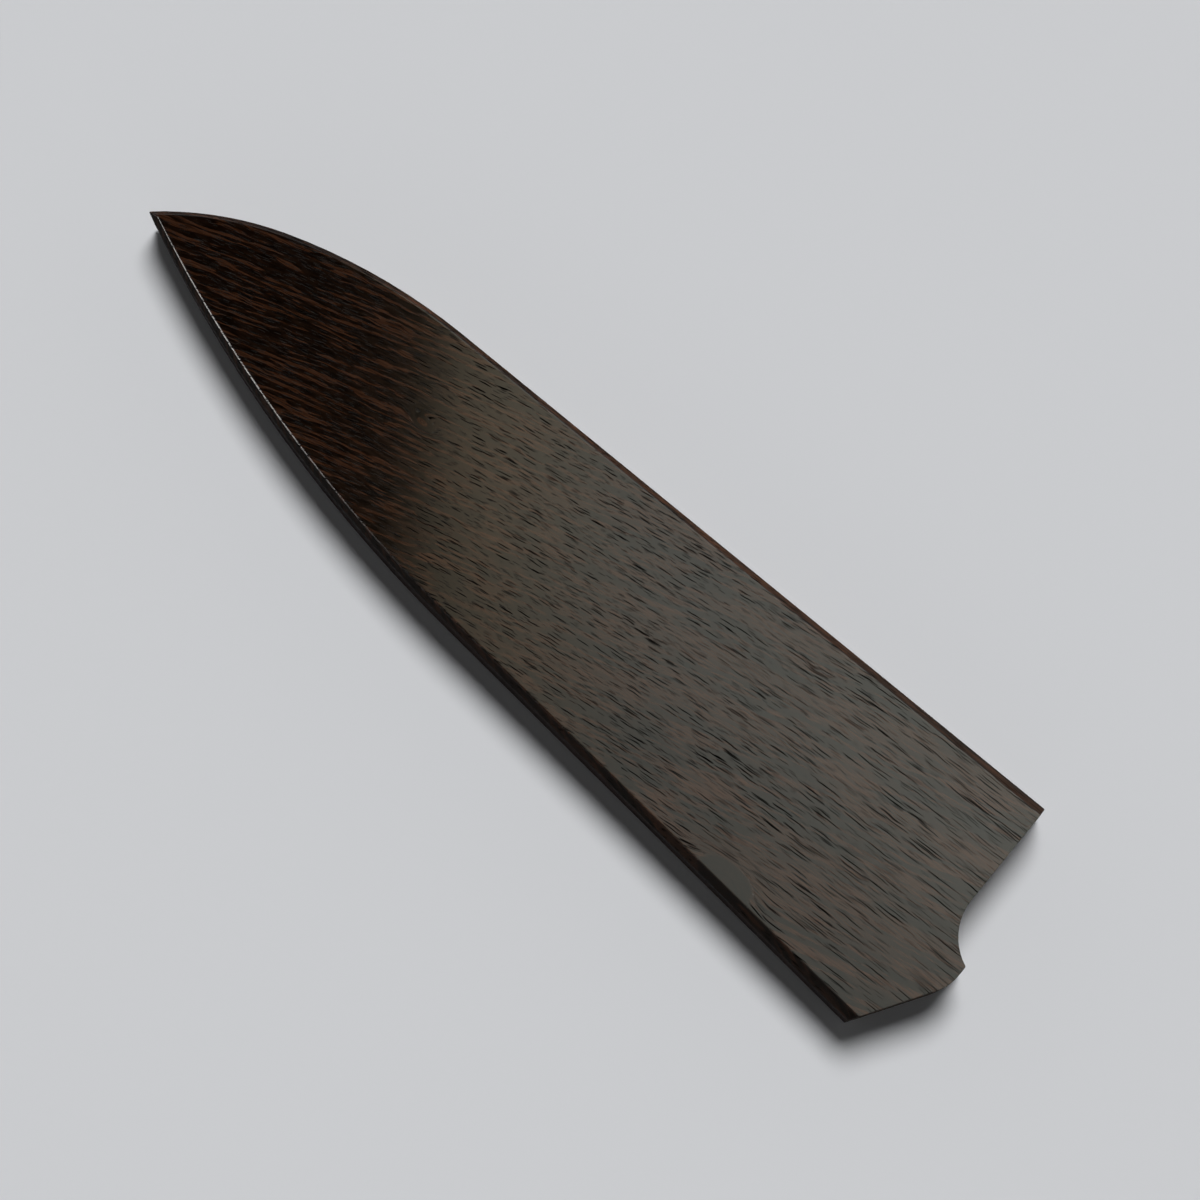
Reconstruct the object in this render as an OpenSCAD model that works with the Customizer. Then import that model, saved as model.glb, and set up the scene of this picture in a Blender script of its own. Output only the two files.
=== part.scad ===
// Sheath for a chef's knife with a blade of about 210 mm: two cheeks of dark wood glued to a
// spacer along the spine and one along the cutting edge, with disc magnets in both cheeks that
// hold the blade. It lies on its back cheek, with the mouth towards +X, the spine towards +Y
// and the front face up. The origin is under the middle of the case, on the surface it lies on.

/* [Case] */
// Length over all, from the tip to the end of the lobe that covers the blade's heel
case_l = 230; // [215:1:245]
// Width over all, from the spine to the heel corner
case_w = 58.5; // [54:0.5:64]
// Thickness of each cheek
cheek_t = 4; // [3.4:0.1:6]
// Thickness of the two spacers, which is the height of the blade channel
core_t = 4.6; // [4.3:0.1:6]
// Width of the wood left round the blade channel
border_w = 5; // [4:0.25:7]

/* [Spine] */
// Length of the gentle drop behind the nose, along the case
drop_l = 42; // [32:1:55]
// Angle that the spine has turned through where the nose begins
drop_turn = 18.8; // [15:0.2:22]
// Length of the nose, from the gentle drop to the tip
nose_l = 25.6; // [21:0.2:31]
// How far the tip lies below the line of the spine
tip_drop = 22; // [19:0.5:28]

/* [Cutting edge side] */
// Angle between the spine and the straight part of this side
edge_slope = 5; // [3:0.25:7]
// Length of the curved belly, along the case
belly_l = 103.6; // [85:0.2:120]

/* [Mouth] */
// Length of the mouth's straight end, down from the spine to the scoop
scoop_start = 24.3; // [18:0.1:27]
// Radius of the scoop between the straight end and the lobe
scoop_r = 11.9; // [10:0.1:14]
// How far the lobe reaches past the straight end
lobe_l = 7.4; // [5:0.1:9.5]
// Radius of the lobe's outer corner
lobe_r = 10; // [4:0.5:13]
// Angle of the slanted end below the lobe, from square
heel_angle = 32; // [25:1:36]
// How far the heel corner lies behind the straight end
heel_back = 3.9; // [1:0.1:6]

/* [Chamfers] */
// Width of the chamfers at the mouth
chamfer_mouth = 2; // [1.2:0.1:2.8]
// Width of the chamfers from where the spine and the edge begin to curve, up to the tip
chamfer_tip = 1.2; // [0.6:0.1:2]

/* [Magnets] */
// Diameter of the magnets and of the wood plugs over them
magnet_d = 10; // [6:0.5:14]
// Thickness of the magnets
magnet_t = 2; // [1:0.1:2.2]
// Thickness of the wood plugs over the magnets
plug_t = 0.8; // [0.5:0.1:1]
// Gap between a magnet or a plug and the wall of its pocket
pocket_clear = 0.1; // [0.05:0.05:0.3]
// Distance from the mouth's straight end to the first magnet
magnet_first = 32; // [20:1:45]
// Distance between neighbouring magnets
magnet_pitch = 56; // [40:1:62]
// Distance of the row of magnets from the spine
magnet_row = 22; // [15:0.5:26]

/* [Hidden] */
$fn = 180;
case_t = 2 * cheek_t + core_t;
inner_z = cheek_t + core_t;
magnet_count = 3;
pocket_r = magnet_d / 2 + pocket_clear;
pocket_depth = magnet_t + plug_t;

// The drawing's own zero is the outer corner of the mouth at the spine
mouth_x = case_l / 2 - lobe_l;
spine_y = case_w / 2;
tip = [lobe_l - case_l, -tip_drop];

// The spine runs straight, then turns along a wide arc and a tight one that ends at the tip
spine_run = case_l - lobe_l - drop_l - nose_l;
drop_r = drop_l / sin(drop_turn);
nose_start = [-spine_run - drop_l, -drop_r * (1 - cos(drop_turn))];
nose_in = [sin(drop_turn), -cos(drop_turn)];
nose_chord = tip - nose_start;
nose_r = nose_chord * nose_chord / (2 * nose_chord * nose_in);
nose_turn = 2 * asin(norm(nose_chord) / (2 * nose_r));

// The cutting edge side runs straight from the heel corner, then along one arc to the tip
heel = [-heel_back, -case_w];
belly_x = tip.x + belly_l;
belly_start = [belly_x, heel.y + (heel.x - belly_x) * tan(edge_slope)];
edge_run = (heel.x - belly_x) / cos(edge_slope);
edge_in = [sin(edge_slope), cos(edge_slope)];
belly_chord = tip - belly_start;
belly_r = belly_chord * belly_chord / (2 * belly_chord * edge_in);
belly_turn = 2 * asin(norm(belly_chord) / (2 * belly_r));

// How far cutting shapes reach past what they cut
reach = 2 * case_l;
over = 1;

// The line that parts the two spacers leaves the tip halfway between the two sides
mitre_angle = (drop_turn + nose_turn - edge_slope - belly_turn) / 2;
mitre_end = tip + 3 * border_w * [cos(mitre_angle), sin(mitre_angle)];

// The corner of the lobe before it is rounded, and the length of the rounding along each side
lobe_corner = [lobe_l, heel.y + (lobe_l - heel.x) / tan(heel_angle)];
lobe_tangent = lobe_r * tan(heel_angle / 2);
heel_line = [sin(heel_angle), cos(heel_angle)];
heel_out = [cos(heel_angle), -sin(heel_angle)];

// Half section of a disc of radius r between two heights, with its top edge bevelled
function section(r, z0, z1, bevel) = concat(
    [[0, z0], [r, z0]],
    bevel > 0 ? [[r, z1 - bevel], [r - bevel, z1]] : [[r, z1]],
    [[0, z1]]
);

function magnet_x(i) = -magnet_first - (i - 1) * magnet_pitch;

// Everything beyond the plane through the origin whose normal is n
module beyond(n) {
    rotate([0, acos(n.z / norm(n)), atan2(n.y, n.x)])
        translate([-reach, -reach, 0])
            cube([2 * reach, 2 * reach, reach]);
}

// Everything on the mouth's side of a place along the case
module towards_mouth(x) {
    translate([x, -reach, -reach])
        cube([2 * reach, 2 * reach, 2 * reach]);
}

// Everything on the tip's side of a place along the case
module towards_tip(x) {
    translate([x, 0, 0])
        mirror([1, 0, 0])
            towards_mouth(0);
}

// A straight side along the X axis, with the case on its -Y side. The bevel grows from
// bevel_start at the origin to bevel_end at x = run
module straight_side(run, z0, z1, inset, bevel_start, bevel_end) {
    difference() {
        translate([-reach, -reach, z0])
            cube([2 * reach, reach - inset, z1 - z0]);
        if (bevel_start > 0)
            translate([0, -inset - bevel_start, z1])
                beyond([(bevel_end - bevel_start) / run, 1, 1]);
    }
}

// A round side about the origin, with the case inside it
module round_side(r, z0, z1, inset, bevel) {
    rotate_extrude()
        polygon(section(r - inset, z0, z1, bevel));
}

// All that lies under the straight spine, its gentle drop and the nose
module spine_side(z0, z1, inset, bevelled) {
    bevel = bevelled ? chamfer_tip : 0;
    nose_x = nose_start.x + inset * nose_in.x;
    intersection() {
        translate([-spine_run, 0, 0])
            straight_side(spine_run, z0, z1, inset, bevel, chamfer_mouth);
        towards_mouth(-spine_run);
    }
    intersection() {
        translate([-spine_run, -drop_r, 0])
            round_side(drop_r, z0, z1, inset, bevel);
        towards_tip(-spine_run);
        towards_mouth(nose_x);
    }
    intersection() {
        translate(nose_start + nose_r * nose_in)
            round_side(nose_r, z0, z1, inset, bevel);
        towards_tip(nose_x);
    }
}

// All that lies above the straight cutting edge side and its belly
module edge_side(z0, z1, inset, bevelled) {
    bevel = bevelled ? chamfer_tip : 0;
    turn_x = belly_start.x + inset * edge_in.x;
    intersection() {
        translate(belly_start)
            rotate([0, 0, -edge_slope])
                mirror([0, 1, 0])
                    straight_side(edge_run, z0, z1, inset, bevel, chamfer_mouth);
        towards_mouth(turn_x);
    }
    intersection() {
        translate(belly_start + belly_r * edge_in)
            round_side(belly_r, z0, z1, inset, bevel);
        towards_tip(turn_x);
    }
}

// What the mouth takes off: the straight end, the scoop, the lobe's end and the slanted heel
module mouth_profile() {
    translate([0, -scoop_start])
        square([reach, scoop_start + reach]);
    translate([scoop_r, -scoop_start])
        circle(scoop_r);
    translate([lobe_l, -reach])
        square([reach, reach]);
    translate(heel)
        rotate(-heel_angle)
            translate([0, -reach])
                square([reach, 2 * reach]);
    difference() {
        polygon([
            lobe_corner + [0, lobe_tangent],
            lobe_corner + [over, lobe_tangent],
            lobe_corner + over * (heel_out + [1, 0]),
            lobe_corner - lobe_tangent * heel_line + over * heel_out,
            lobe_corner - lobe_tangent * heel_line,
            lobe_corner + [-lobe_r, lobe_tangent]
        ]);
        translate(lobe_corner + [-lobe_r, lobe_tangent])
            circle(lobe_r);
    }
}

// A solid with the outline of the case, drawn in by inset, with the mouth's end left long
module blank(z0, z1, inset = 0, bevelled = false) {
    intersection() {
        spine_side(z0, z1, inset, bevelled);
        edge_side(z0, z1, inset, bevelled);
    }
}

module mouth_cut(z0, z1) {
    translate([0, 0, z0 - over])
        linear_extrude(z1 - z0 + 2 * over)
            mouth_profile();
}

// Puts a piece drawn from the mouth's corner where the case lies
module in_place() {
    translate([mouth_x, spine_y, 0])
        children();
}

// Turns a piece of the front cheek into its twin in the back cheek
module on_the_back() {
    translate([0, 0, case_t])
        mirror([0, 0, 1])
            children();
}

module cheek() {
    in_place() difference() {
        blank(inner_z, case_t, bevelled = true);
        mouth_cut(inner_z, case_t);
        for (i = [1:magnet_count])
            translate([magnet_x(i), -magnet_row, inner_z - over])
                cylinder(r = pocket_r, h = pocket_depth + over);
    }
}

module magnet(i) {
    in_place()
        translate([magnet_x(i), -magnet_row, inner_z + plug_t])
            cylinder(d = magnet_d, h = magnet_t);
}

module plug(i) {
    in_place()
        translate([magnet_x(i), -magnet_row, inner_z])
            cylinder(d = magnet_d, h = plug_t);
}

// The border round the blade channel, still in one piece
module border() {
    difference() {
        blank(cheek_t, inner_z);
        blank(cheek_t - over, inner_z + over, inset = border_w);
        mouth_cut(cheek_t, inner_z);
    }
}

// The spine's share of the border, from the tip's mitre up
module spine_share() {
    translate([0, 0, cheek_t - over])
        linear_extrude(core_t + 2 * over)
            polygon([
                tip - over * [cos(mitre_angle), sin(mitre_angle)],
                mitre_end,
                [reach, -case_w / 2],
                [reach, reach],
                [tip.x - reach, reach]
            ]);
}

module front_cheek() {
    color([0.17, 0.12, 0.09]) cheek();
}

module back_cheek() {
    color([0.15, 0.10, 0.08]) on_the_back() cheek();
}

module spine_spacer() {
    color([0.24, 0.16, 0.11]) in_place() intersection() {
        border();
        spine_share();
    }
}

module edge_spacer() {
    color([0.22, 0.15, 0.10]) in_place() difference() {
        border();
        spine_share();
    }
}

module front_magnet(i) {
    color([0.75, 0.76, 0.78]) magnet(i);
}

module front_plug(i) {
    color([0.28, 0.19, 0.13]) plug(i);
}

module back_magnet(i) {
    color([0.75, 0.76, 0.78]) on_the_back() magnet(i);
}

module back_plug(i) {
    color([0.28, 0.19, 0.13]) on_the_back() plug(i);
}

front_cheek();
back_cheek();
spine_spacer();
edge_spacer();
for (i = [1:magnet_count]) {
    front_magnet(i);
    front_plug(i);
    back_magnet(i);
    back_plug(i);
}
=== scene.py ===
"""Looks of the sheath: open-grained dark wood boards round a hidden core, on a pale floor."""

import math

import bmesh
import bpy
from mathutils import Matrix, Vector


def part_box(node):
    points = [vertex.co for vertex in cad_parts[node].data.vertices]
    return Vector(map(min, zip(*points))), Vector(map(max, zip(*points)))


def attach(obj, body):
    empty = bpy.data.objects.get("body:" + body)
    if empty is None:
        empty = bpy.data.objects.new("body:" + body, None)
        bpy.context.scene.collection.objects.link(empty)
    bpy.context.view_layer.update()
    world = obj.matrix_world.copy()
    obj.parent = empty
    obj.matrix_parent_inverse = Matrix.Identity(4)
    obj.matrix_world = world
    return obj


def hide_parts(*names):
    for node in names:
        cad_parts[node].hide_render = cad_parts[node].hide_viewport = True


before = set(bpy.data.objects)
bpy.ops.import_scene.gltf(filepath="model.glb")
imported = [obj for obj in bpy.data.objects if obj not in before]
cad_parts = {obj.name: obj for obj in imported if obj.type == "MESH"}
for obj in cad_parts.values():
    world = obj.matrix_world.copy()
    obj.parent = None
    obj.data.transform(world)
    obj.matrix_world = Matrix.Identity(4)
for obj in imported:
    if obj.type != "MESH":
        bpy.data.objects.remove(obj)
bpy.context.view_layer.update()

MM = 0.001

# The photograph's view: how far the camera leans off straight down, how the case lies in the picture,
# how far away the camera is, its lens, and the point of the front face in the picture's centre
CAMERA_LEAN = math.radians(11)
CASE_TURN = math.radians(39.96)
CAMERA_AWAY = 600 * MM
LENS = 88.16
PICTURE_CENTRE = Vector((11.24, 4.18, 12.6)) * MM

# Heights of the two glue lines and of the front face, from the frame
LOWER_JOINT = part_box("back_cheek")[1].z
UPPER_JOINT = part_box("front_cheek")[0].z
FRONT_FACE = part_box("front_cheek")[1].z

# How far the magnets' pockets reach into a board, from the frame
POCKET_DEPTH = LOWER_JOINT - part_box("back_magnet_1")[0].z

# Chamfers slope at 45 degrees, which is how a face is told from a side; the mouth's ends look along
# the case
CHAMFER_SLOPE = 0.75
END_SLOPE = 0.6

# The wood's figure: how far apart its lighter bands lie in millimetres, and how plain they are at the
# mouth
BAND_SPACING = 1.7
FAR_FIGURE = 0.6

# Length and width of the open pores and of the fine ones, in millimetres, and how plain the fine
# ones are
PORES = (1.7, 0.1)
FINE_PORES = (0.9, 0.06)
FINE_SHARE = 0.6

# Colours: dark and lighter tissue, each between the fibres and on them, then the pores, the painted
# shade on the sides near the mouth, and the glue
DARK_TONES = ((0.002, 0.0007, 0.0002), (0.011, 0.0042, 0.0016))
LIGHT_TONES = ((0.024, 0.0088, 0.0036), (0.05, 0.0192, 0.0088))
PORE_TONE = (0.0012, 0.0007, 0.0005)
SHADE_TONE = (0.006, 0.0035, 0.0025)
GLUE_TONE = (0.0015, 0.001, 0.0008)

# Finishes of the wood: roughness of its smooth and dull fibres, how much it reflects, how light it is,
# how far painted shade darkens it towards the mouth, and whether the glue lines cross it
POLISHED = {"rough": (0.15, 0.24), "reflects": 0.35, "light": 0.75, "darkens": 0.0, "glued": False}
# Painted light: the spine side is a lighter copy of the same wood, as if the key fell on it
SAWN_PAINTED_LIGHT_AND_SHADE = {"rough": (0.5, 0.7), "reflects": 0.12, "light": 1.6, "darkens": 0.6, "glued": True}
# Painted shade: the cutting edge's side is a darker copy of the same wood, as if it lay in shade
PAINTED_SHADE_FINISH = {"rough": (0.55, 0.8), "reflects": 0.06, "light": 0.45, "darkens": 0.0, "glued": True}
END_GRAIN = {"rough": (0.6, 0.85), "reflects": 0.06, "light": 0.75, "darkens": 0.0, "glued": True}
SANDED = {"rough": (0.5, 0.7), "reflects": 0.12, "light": 1.6, "darkens": 0.0, "glued": False}

# How far sandpaper has rounded the edges: the widest, and its shares at the mouth and on the discs
WIDEST_EASE = 0.3 * MM
MOUTH_EASE = 0.4
DISC_EASE = 0.5

# A CAD mesh's corners closer than this are one, faces that turn less than this are flat, edges that
# turn more than this are rounded, and faces that turn less than this are shaded as one
MERGE_WITHIN = 0.002 * MM
FLAT_WITHIN = math.radians(0.3)
SHARP_FROM = math.radians(25)
SMOOTH_UP_TO = math.radians(24)

# The sheen lamp, in millimetres: its height, its side, the middle of the edge nearest the tip in the
# picture's directions, and which way it reaches from there
SHEEN_HEIGHT = 120
SHEEN_SIDE = 420
SHEEN_EDGE = Vector((-42.5, 54.7))
SHEEN_REACH = Vector((0.9925, -0.122))

# How brightly it glows and how far from that edge it does, how steeply the glow grows on the way, how
# far its warm colour reaches before the cool one takes over, and where across the case it brightens
# towards the spine, and how much
SHEEN_GLOW = 2.5172
SHEEN_FULL = 118
SHEEN_STEEPNESS = 0.2
SHEEN_WARM_TO = 65
SHEEN_WARM = (1, 0.87, 0.62)
SHEEN_COOL = (0.82, 0.85, 0.765)
SHEEN_SIDES = {"low": -20, "high": 39, "bottom": 0.68, "top": 1.04}

# The floor's side in metres, and how far it reaches up the case's foot
FLOOR_SIDE = 20
FLOOR_RISE = 0.05 * MM


def in_picture(right, up, height):
    """A point of the row frame, given along the picture's sides in millimetres from its centre."""
    flat = Matrix.Rotation(CASE_TURN, 3, "Z") @ Vector((right, up, height))
    return flat * MM + Vector((PICTURE_CENTRE.x, PICTURE_CENTRE.y, 0))


class Recipe:
    """The nodes of one material or world, with short calls that add and join them."""

    def __init__(self, tree):
        self.tree = tree
        tree.nodes.clear()

    def add(self, kind, inputs, **settings):
        """Adds a node, sets it up, and fills its inputs with numbers or with other nodes' outputs."""
        node = self.tree.nodes.new(kind)
        for name, value in settings.items():
            setattr(node, name, value)
        for name, value in inputs.items():
            if isinstance(value, bpy.types.NodeSocket):
                self.tree.links.new(value, node.inputs[name])
            else:
                node.inputs[name].default_value = value
        return node

    def sum(self, kind, first, second=0.0, third=0.0):
        """A Math node's result."""
        terms = {0: first, 1: second, 2: third}
        return self.add("ShaderNodeMath", terms, operation=kind).outputs[0]

    def place(self, vector, scale=(1, 1, 1), move=(0, 0, 0), turn=(0, 0, 0)):
        """A vector scaled, turned and then moved."""
        inputs = {"Vector": vector, "Scale": scale, "Location": move, "Rotation": turn}
        return self.add("ShaderNodeMapping", inputs).outputs[0]

    def noise(self, vector, detail=2.0, roughness=0.5):
        """A noise whose grains are about as big as one unit of the vector."""
        inputs = {"Vector": vector, "Scale": 1.0, "Detail": detail, "Roughness": roughness}
        return self.add("ShaderNodeTexNoise", inputs).outputs["Fac"]

    def step(self, value, low, high, bottom=0.0, top=1.0):
        """A soft step: bottom below low and top above high."""
        inputs = {"Value": value, "From Min": low, "From Max": high, "To Min": bottom, "To Max": top}
        node = self.add("ShaderNodeMapRange", inputs, interpolation_type="SMOOTHSTEP")
        return node.outputs[0]

    def blend(self, share, first, second):
        """Two colours mixed by a share."""
        node = self.add("ShaderNodeMix", {"Factor": share}, data_type="RGBA")
        for socket, value in ((node.inputs[6], first), (node.inputs[7], second)):
            if isinstance(value, bpy.types.NodeSocket):
                self.tree.links.new(value, socket)
            else:
                socket.default_value = (*value, 1)
        return node.outputs[2]

    def surface(self, inputs):
        """Ends the recipe with a surface."""
        shader = self.add("ShaderNodeBsdfPrincipled", inputs)
        self.add("ShaderNodeOutputMaterial", {"Surface": shader.outputs[0]})


def blank(name):
    """A new material and the recipe that fills it."""
    material = bpy.data.materials.new(name)
    material.use_nodes = True
    return material, Recipe(material.node_tree)


def millimetres(recipe):
    """The object's own coordinates in millimetres."""
    place = recipe.add("ShaderNodeTexCoord", {}).outputs["Object"]
    return recipe.place(place, scale=(1000, 1000, 1000))


def grain_space(recipe, lean, bow, stretch, dip, wander, shift, eyes):
    """Millimetres along, across and through the grain, which leans and bows in the board's plane.

    Stretch draws the grain out from the middle towards the mouth. Dip is how far the layers slide
    across for each millimetre below the front face, which lays them nearly flat.

    An eye is a place where the grain parts round a small knot: its x and y, its half length and
    half width, and how far it pushes the grain aside, all in millimetres."""
    mm = millimetres(recipe)
    axes = recipe.add("ShaderNodeSeparateXYZ", {0: mm}).outputs
    leaning = recipe.sum("MULTIPLY", axes["X"], lean)
    squared = recipe.sum("MULTIPLY", axes["X"], axes["X"])
    across = recipe.sum("MULTIPLY_ADD", squared, bow, recipe.sum("SUBTRACT", axes["Y"], leaning))
    depth = recipe.sum("SUBTRACT", FRONT_FACE / MM, axes["Z"])
    across = recipe.sum("MULTIPLY_ADD", depth, dip, across)
    drawn_out = recipe.sum("MULTIPLY", axes["X"], recipe.sum("MAXIMUM", axes["X"], 0.0))
    along = recipe.sum("MULTIPLY_ADD", drawn_out, -stretch, axes["X"])
    broad = recipe.noise(recipe.place(mm, scale=(0.022, 0.05, 0.05), move=shift), detail=1)
    close = recipe.noise(recipe.place(mm, scale=(0.16, 0.32, 0.2), move=shift), detail=2)
    across = recipe.sum("MULTIPLY_ADD", recipe.sum("SUBTRACT", broad, 0.5), wander, across)
    across = recipe.sum("MULTIPLY_ADD", recipe.sum("SUBTRACT", close, 0.5), wander * 0.4, across)
    swells = []
    for x, y, half_length, half_width, push in eyes:
        size = (1 / half_length, 1 / half_width, 0)
        round_eye = recipe.place(mm, scale=size, move=(-x / half_length, -y / half_width, 0))
        swell = recipe.add("ShaderNodeTexGradient", {"Vector": round_eye},
                           gradient_type="QUADRATIC_SPHERE").outputs["Fac"]
        across = recipe.sum("MULTIPLY_ADD", swell, push, across)
        swells.append(swell)
    inputs = {"X": along, "Y": across, "Z": axes["Z"]}
    grain = recipe.add("ShaderNodeCombineXYZ", inputs).outputs[0]
    return recipe.place(grain, move=shift), swells


def pore_lines(recipe, grain, size, swells):
    """How much of a spot is open pore: short dark dashes along the grain that crowd round the eyes."""
    length, width = size
    reach = 0.33
    scale = (reach / length, reach / width, reach / width)
    cells = recipe.place(grain, scale=scale, turn=(0.5, 0.3, 0.6))
    dots = recipe.add("ShaderNodeTexVoronoi", {"Vector": cells, "Scale": 1.0, "Randomness": 1.0})
    chance = recipe.add("ShaderNodeSeparateColor", {0: dots.outputs["Color"]}).outputs[0]
    crowd = recipe.noise(recipe.place(grain, scale=(0.07, 0.2, 0.2)), detail=2)
    chance = recipe.sum("ADD", chance, recipe.sum("SUBTRACT", crowd, 0.5))
    for swell in swells:
        chance = recipe.sum("ADD", chance, recipe.step(swell, 0.0, 0.15, bottom=0.0, top=0.3))
    opening = recipe.step(chance, 0.27, 0.66, bottom=0.0, top=reach)
    edge = recipe.sum("SUBTRACT", opening, dots.outputs["Distance"])
    pores = recipe.step(edge, 0.0, reach * 0.12)
    for swell in swells:
        pores = recipe.sum("MULTIPLY", pores, recipe.step(swell, 0.12, 0.25, bottom=1.0, top=0.0))
    return pores


def lighter_bands(recipe, grain, swells):
    """How much of a spot is lighter tissue: wavy lines that thicken, merge and break off.

    They are plainest at the tip; towards the mouth soft streaks take their place. Eyes are dark,
    and the first of them has a light spot."""
    axes = recipe.add("ShaderNodeSeparateXYZ", {0: grain}).outputs
    drift = recipe.noise(recipe.place(grain, scale=(0.05, 0.3, 0.3)), detail=3)
    lines = recipe.sum("MULTIPLY_ADD", drift, 3.2, recipe.sum("DIVIDE", axes["Y"], BAND_SPACING))
    lines = recipe.sum("SINE", recipe.sum("MULTIPLY", lines, 2 * math.pi))
    streaks = recipe.noise(recipe.place(grain, scale=(0.08, 0.8, 0.7)), detail=3, roughness=0.6)
    patches = recipe.noise(recipe.place(grain, scale=(0.03, 0.2, 0.2)), detail=2)
    crowded = recipe.sum("MULTIPLY_ADD", streaks, 1.9, recipe.sum("MULTIPLY", lines, 0.27))
    crowded = recipe.sum("MULTIPLY_ADD", patches, 1.0, crowded)
    sharp = recipe.step(crowded, 1.52, 1.68)
    fading = recipe.step(axes["X"], -70, 100, bottom=1.0, top=FAR_FIGURE)
    sharp = recipe.sum("MULTIPLY", sharp, fading)
    soft = recipe.noise(recipe.place(grain, scale=(0.11, 0.55, 0.5)), detail=3)
    soft = recipe.step(soft, 0.5, 0.62)
    soft = recipe.sum("MULTIPLY", soft, recipe.step(axes["X"], -70, 60, bottom=0.06, top=1.0))
    broad = recipe.step(patches, 0.5, 0.62)
    broad = recipe.sum("MULTIPLY", broad, recipe.step(axes["X"], -70, 60, top=0.65))
    bands = recipe.sum("MAXIMUM", sharp, recipe.sum("MAXIMUM", soft, broad))
    for swell in swells:
        bands = recipe.sum("MULTIPLY", bands, recipe.step(swell, 0.2, 0.3, bottom=1.0, top=0.0))
    for swell in swells[:1]:
        bands = recipe.sum("MAXIMUM", bands, recipe.step(swell, 0.55, 0.65))
    return bands


def glue_lines(recipe):
    """How much of a spot is a glue line: thin and dark, where a board meets the core."""
    height = recipe.add("ShaderNodeSeparateXYZ", {0: millimetres(recipe)}).outputs["Z"]
    lower = recipe.sum("ABSOLUTE", recipe.sum("SUBTRACT", height, LOWER_JOINT / MM))
    upper = recipe.sum("ABSOLUTE", recipe.sum("SUBTRACT", height, UPPER_JOINT / MM))
    return recipe.step(recipe.sum("MINIMUM", lower, upper), 0.08, 0.14, bottom=1.0, top=0.0)


def lit(tones, share):
    """Colours made lighter or darker by a share."""
    return [[share * part for part in tone] for tone in tones]


def wenge(name, finish, lean=0.0, bow=0.0, stretch=0.0, band_lean=0.0, band_bow=0.0, dip=2.2,
          wander=2.0, shift=(0, 0, 0), eyes=()):
    """Nearly black brown wood with thin lighter bands along the grain, and open pores."""
    material, recipe = blank(name)
    grain = grain_space(recipe, lean, bow, stretch, 0.0, wander, shift, eyes)[0]
    leaning, bowed = lean + band_lean, bow - band_bow
    band_grain, swells = grain_space(recipe, leaning, bowed, stretch, dip, wander, shift, eyes)

    bands = lighter_bands(recipe, band_grain, swells)
    fibres = recipe.noise(recipe.place(grain, scale=(0.25, 3.6, 3.0)), detail=2, roughness=0.6)
    fibre_light = recipe.step(fibres, 0.35, 0.7)
    pores = pore_lines(recipe, grain, PORES, swells)
    fine_pores = pore_lines(recipe, recipe.place(grain, move=(7, 11, 5)), FINE_PORES, swells)
    pores = recipe.sum("MAXIMUM", pores, recipe.sum("MULTIPLY", fine_pores, FINE_SHARE))

    # The finish's share makes the tones lighter or darker: painted light on the spine side, painted
    # shade on the cutting edge's side
    dark = recipe.blend(fibre_light, *lit(DARK_TONES, finish["light"]))
    light = recipe.blend(fibre_light, *lit(LIGHT_TONES, finish["light"]))
    colour = recipe.blend(bands, dark, light)
    colour = recipe.blend(pores, colour, PORE_TONE)
    # Painted shade: the sides darken towards the mouth
    if finish["darkens"]:
        along = recipe.add("ShaderNodeSeparateXYZ", {0: millimetres(recipe)}).outputs["X"]
        shade = recipe.step(along, -10, 110, bottom=0.0, top=finish["darkens"])
        colour = recipe.blend(shade, colour, SHADE_TONE)
    if finish["glued"]:
        colour = recipe.blend(glue_lines(recipe), colour, GLUE_TONE)

    smooth, dull = finish["rough"]
    rough = recipe.step(fibres, 0.3, 0.7, bottom=smooth, top=dull)
    rough = recipe.sum("MAXIMUM", rough, pores)
    relief = recipe.sum("SUBTRACT", recipe.sum("MULTIPLY", fibres, 0.015), pores)
    bump = recipe.add("ShaderNodeBump", {"Height": relief, "Strength": 1.0, "Distance": 0.3 * MM})
    recipe.surface({"Base Color": colour, "Roughness": rough, "Metallic": pores,
                    "Normal": bump.outputs[0], "Specular IOR Level": finish["reflects"]})
    return material


def nickel_plate():
    """Bright plating on a magnet, with a faint haze."""
    material, recipe = blank("nickel_plate")
    haze = recipe.noise(recipe.place(millimetres(recipe), scale=(1.6, 1.6, 1.6)), detail=4)
    colour = recipe.blend(haze, (0.56, 0.54, 0.5), (0.66, 0.64, 0.6))
    rough = recipe.step(haze, 0.3, 0.7, bottom=0.18, top=0.36)
    recipe.surface({"Base Color": colour, "Roughness": rough, "Metallic": 1.0})
    return material


def add_camera():
    """The photograph's camera, nearly straight above the case."""
    data = bpy.data.cameras.new("camera")
    data.lens = LENS
    data.sensor_width = 36
    camera = bpy.data.objects.new("camera", data)
    bpy.context.scene.collection.objects.link(camera)
    stance = Matrix.Rotation(CASE_TURN, 4, "Z") @ Matrix.Rotation(CAMERA_LEAN, 4, "X")
    away = Matrix.Translation((0, 0, CAMERA_AWAY))
    camera.matrix_world = Matrix.Translation(PICTURE_CENTRE) @ stance @ away
    bpy.context.scene.camera = camera
    bpy.context.scene.view_settings.view_transform = "Standard"


def softbox(name, centre, aim, size, glow, colour):
    """A rectangular lamp that shows only in reflections, turned by aim, that glows at a given level."""
    data = bpy.data.lights.new(name, "AREA")
    data.shape = "RECTANGLE"
    data.size, data.size_y = size[0] * MM, size[1] * MM
    data.energy = glow * 4 * data.size * data.size_y
    data.color = colour
    lamp = bpy.data.objects.new(name, data)
    bpy.context.scene.collection.objects.link(lamp)
    lamp.matrix_world = Matrix.Translation(centre) @ aim
    lamp.visible_camera = False
    lamp.visible_diffuse = False
    return lamp


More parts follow.
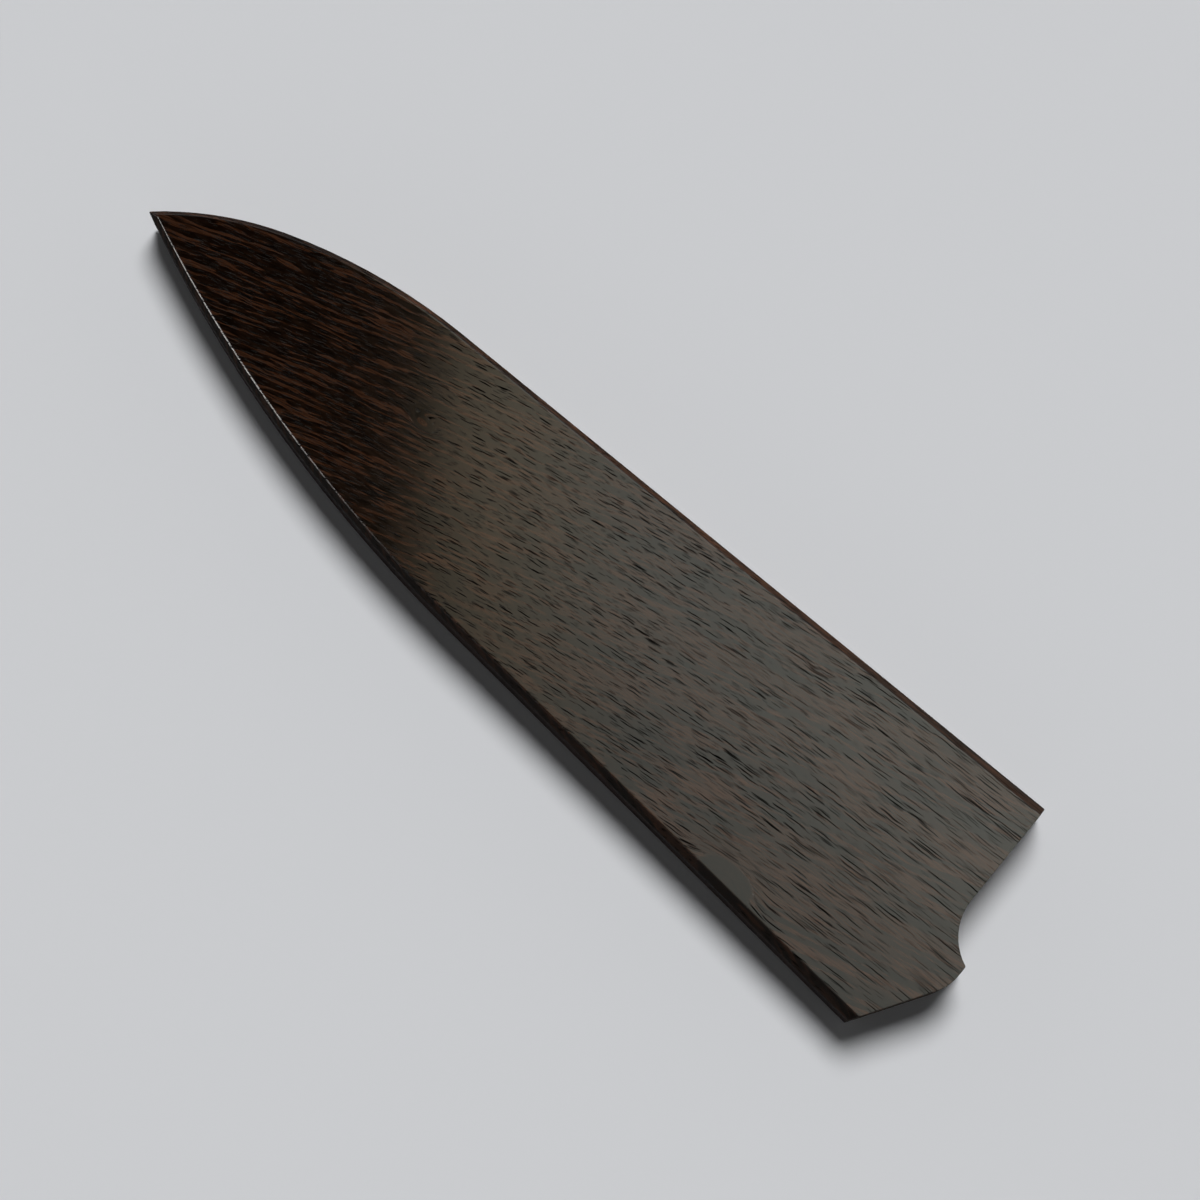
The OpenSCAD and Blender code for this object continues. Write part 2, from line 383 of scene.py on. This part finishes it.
def grade_sheen(lamp, edge, heading):
    """Makes the sheen lamp dimmer and warmer towards its edge nearest the tip, and dimmer on the
    cutting edge's side."""
    lamp.data.use_nodes = True
    recipe = Recipe(lamp.data.node_tree)
    place = recipe.add("ShaderNodeNewGeometry", {}).outputs["Position"]
    mm = recipe.place(place, scale=(1000, 1000, 1000))
    axes = recipe.add("ShaderNodeSeparateXYZ", {0: mm}).outputs
    past_x = recipe.sum("SUBTRACT", axes["X"], edge.x / MM)
    past_y = recipe.sum("SUBTRACT", axes["Y"], edge.y / MM)
    inwards = recipe.sum("MULTIPLY", past_x, math.cos(heading))
    inwards = recipe.sum("MULTIPLY_ADD", past_y, math.sin(heading), inwards)
    share = recipe.sum("MAXIMUM", recipe.sum("DIVIDE", inwards, SHEEN_FULL), 0.0)
    rise = recipe.sum("POWER", share, SHEEN_STEEPNESS)
    strength = recipe.sum("MULTIPLY", rise, recipe.step(axes["Y"], **SHEEN_SIDES))
    colour = recipe.blend(recipe.step(inwards, 0, SHEEN_WARM_TO), SHEEN_WARM, SHEEN_COOL)
    glow = recipe.add("ShaderNodeEmission", {"Color": colour, "Strength": strength})
    recipe.add("ShaderNodeOutputLight", {"Surface": glow.outputs[0]})


def light_studio():
    """A soft key from the picture's upper edge, a pale room, and softboxes that give the wood sheen."""
    key_data = bpy.data.lights.new("key", "SUN")
    key_data.angle = math.radians(28)
    key_data.energy = 3.0
    key = bpy.data.objects.new("key", key_data)
    bpy.context.scene.collection.objects.link(key)
    shining = in_picture(0, 0, 0) - in_picture(150, 500, 850)
    key.rotation_euler = shining.to_track_quat("-Z", "Y").to_euler()
    key.visible_glossy = False

    world = bpy.data.worlds.new("room")
    bpy.context.scene.world = world
    world.use_nodes = True
    recipe = Recipe(world.node_tree)
    direction = recipe.add("ShaderNodeTexCoord", {}).outputs["Generated"]
    height = recipe.add("ShaderNodeSeparateXYZ", {0: direction}).outputs["Z"]
    room = recipe.step(height, 0.1, 0.6, bottom=0.6, top=0.0)
    background = recipe.add("ShaderNodeBackground", {"Color": (1, 1, 1, 1), "Strength": room})
    recipe.add("ShaderNodeOutputWorld", {"Surface": background.outputs[0]})

    middle = SHEEN_EDGE + SHEEN_REACH * SHEEN_SIDE / 2
    centre = in_picture(middle.x, middle.y, SHEEN_HEIGHT)
    edge = in_picture(SHEEN_EDGE.x, SHEEN_EDGE.y, SHEEN_HEIGHT)
    heading = CASE_TURN + math.atan2(SHEEN_REACH.y, SHEEN_REACH.x)
    facing_down = Matrix.Rotation(heading, 4, "Z")
    sides = (SHEEN_SIDE, SHEEN_SIDE)
    lamp = softbox("sheen_box", centre, facing_down, sides, SHEEN_GLOW, (1, 1, 1))
    grade_sheen(lamp, edge, heading)

    centre = in_picture(-716, -47, 480)
    shining = in_picture(-86, 113, 12) - centre
    aim = shining.to_track_quat("-Z", "Y").to_matrix().to_4x4()
    softbox("edge_strip", centre, aim, (240, 620), 11.0, (1, 0.98, 0.95))


def add_floor():
    """A plain pale floor, far wider than any view, and a hair up the case's foot, so that a view
    from below shows the back."""
    bpy.ops.object.select_all(action="DESELECT")
    bpy.ops.mesh.primitive_plane_add(size=FLOOR_SIDE, location=(0, 0, FLOOR_RISE))
    floor = bpy.context.object
    floor.name = "studio_floor"
    material, recipe = blank("pale_floor")
    colour = (0.66, 0.67, 0.69, 1)
    recipe.surface({"Base Color": colour, "Roughness": 1.0, "Specular IOR Level": 0.0})
    floor.data.materials.append(material)


def dress(piece, flat, spine_side, edge_side, end, inside):
    """Gives a piece its finishes: on its outer flat face, on its two long sides, across the grain,
    and on the flat faces towards the blade."""
    piece.data.materials.clear()
    for material in (flat, spine_side, edge_side, end, inside):
        piece.data.materials.append(material)
    for face in piece.data.polygons:
        if abs(face.normal.z) > CHAMFER_SLOPE:
            face.material_index = 4 if is_inside(face.center.z) else 0
        elif face.normal.x > END_SLOPE:
            face.material_index = 3
        else:
            face.material_index = 1 if face.normal.y > 0 else 2


def is_inside(height):
    """True at the heights of the blade channel and the pockets, and false at the two outer faces."""
    spare = 0.5 * MM
    return LOWER_JOINT - POCKET_DEPTH - spare < height < UPPER_JOINT + POCKET_DEPTH + spare


def eased_copy(node, name, ease):
    """A copy of a CAD node with its sharp edges rounded off, each as far as ease(edge) says."""
    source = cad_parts[node]
    piece = source.copy()
    piece.data = source.data.copy()
    piece.name = piece.data.name = name
    bpy.context.scene.collection.objects.link(piece)
    bpy.ops.object.select_all(action="DESELECT")
    piece.select_set(True)
    bpy.context.view_layer.objects.active = piece
    bpy.ops.object.mode_set(mode="EDIT")
    bpy.ops.mesh.select_all(action="SELECT")
    bpy.ops.mesh.remove_doubles(threshold=MERGE_WITHIN)
    bpy.ops.mesh.dissolve_limited(angle_limit=FLAT_WITHIN)
    mesh = bmesh.from_edit_mesh(piece.data)
    weight = mesh.edges.layers.float.new("bevel_weight_edge")
    for edge in mesh.edges:
        if edge.calc_face_angle(0) > SHARP_FROM:
            edge[weight] = ease(edge)
    bmesh.update_edit_mesh(piece.data)
    bpy.ops.object.mode_set(mode="OBJECT")
    bevel = piece.modifiers.new("ease", "BEVEL")
    bevel.limit_method = "WEIGHT"
    bevel.width = WIDEST_EASE
    bevel.segments = 2
    bpy.ops.object.modifier_apply(modifier=bevel.name)
    bpy.ops.object.shade_smooth_by_angle(angle=SMOOTH_UP_TO)
    normals = piece.modifiers.new("flat faces", "WEIGHTED_NORMAL")
    normals.keep_sharp = True
    bpy.ops.object.modifier_apply(modifier=normals.name)
    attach(piece, "root")
    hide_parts(node)
    return piece


def board_ease(edge):
    """Shares of the widest ease for a board: its long arrises all of it, its mouth's rims less, and
    its glued edges and the bottoms of its pockets none."""
    if not edge.is_convex:
        return 0.0
    heights = [corner.co.z for corner in edge.verts]
    if all(LOWER_JOINT - 0.01 * MM < z < UPPER_JOINT + 0.01 * MM for z in heights):
        return 0.0
    slopes = [abs(face.normal.z) for face in edge.link_faces]
    return 1.0 if max(slopes) < 0.72 or 0.7 < min(slopes) else MOUTH_EASE


def disc_ease(edge):
    """The share of the widest ease that the rims of the magnets and plugs take."""
    return DISC_EASE


add_camera()
light_studio()
add_floor()

front_grain = {"lean": 0.155, "bow": 0.00068, "stretch": 0.003, "band_lean": 0.13,
               "band_bow": 0.0005, "eyes": ((-41.0, 9.3, 6, 2.6, 3.5), (67.0, -23.5, 13, 7, -6))}
back_grain = {"lean": -0.08, "bow": 0.0004, "stretch": 0.001, "band_lean": 0.05, "dip": -1.8,
              "wander": 3.0, "shift": (25, 60, 20)}
boards = (("front_cheek", "front_board", front_grain), ("back_cheek", "back_board", back_grain))
for node, name, grain in boards:
    board = eased_copy(node, name, board_ease)
    face = wenge(name + "_face", POLISHED, **grain)
    # The spine side gets painted light and the cutting edge's side painted shade
    spine_side = wenge(name + "_spine_side", SAWN_PAINTED_LIGHT_AND_SHADE, **grain)
    edge_side = wenge(name + "_edge_side", PAINTED_SHADE_FINISH, **grain)
    end = wenge(name + "_end", END_GRAIN, **grain)
    inside = wenge(name + "_inside", SANDED, **grain)
    dress(board, face, spine_side, edge_side, end, inside)

strip_grain = {"dip": 1.2, "wander": 1.0, "shift": (-20, 35, 50)}
# The strips' spine side gets painted light and their cutting edge's side painted shade
strip_spine = wenge("strip_spine_side", SAWN_PAINTED_LIGHT_AND_SHADE, **strip_grain)
strip_edge = wenge("strip_edge_side", PAINTED_SHADE_FINISH, **strip_grain)
strip_end = wenge("strip_end", END_GRAIN, **strip_grain)
for node in ("spine_spacer", "edge_spacer"):
    dress(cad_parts[node], strip_spine, strip_spine, strip_edge, strip_end, strip_spine)

plating = nickel_plate()
plug_wood = wenge("plug_end_wood", SANDED, lean=0.3, wander=1.0, shift=(30, -80, 10))
discs = (("magnet", plating, "magnet_plating"), ("plug", plug_wood, "plug_wood"))
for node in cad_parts:
    for kind, finish, slot in discs:
        if kind in node:
            disc = eased_copy(node, node + "_disc", disc_ease)
            disc.data.materials.clear()
            disc.data.materials.append(finish)
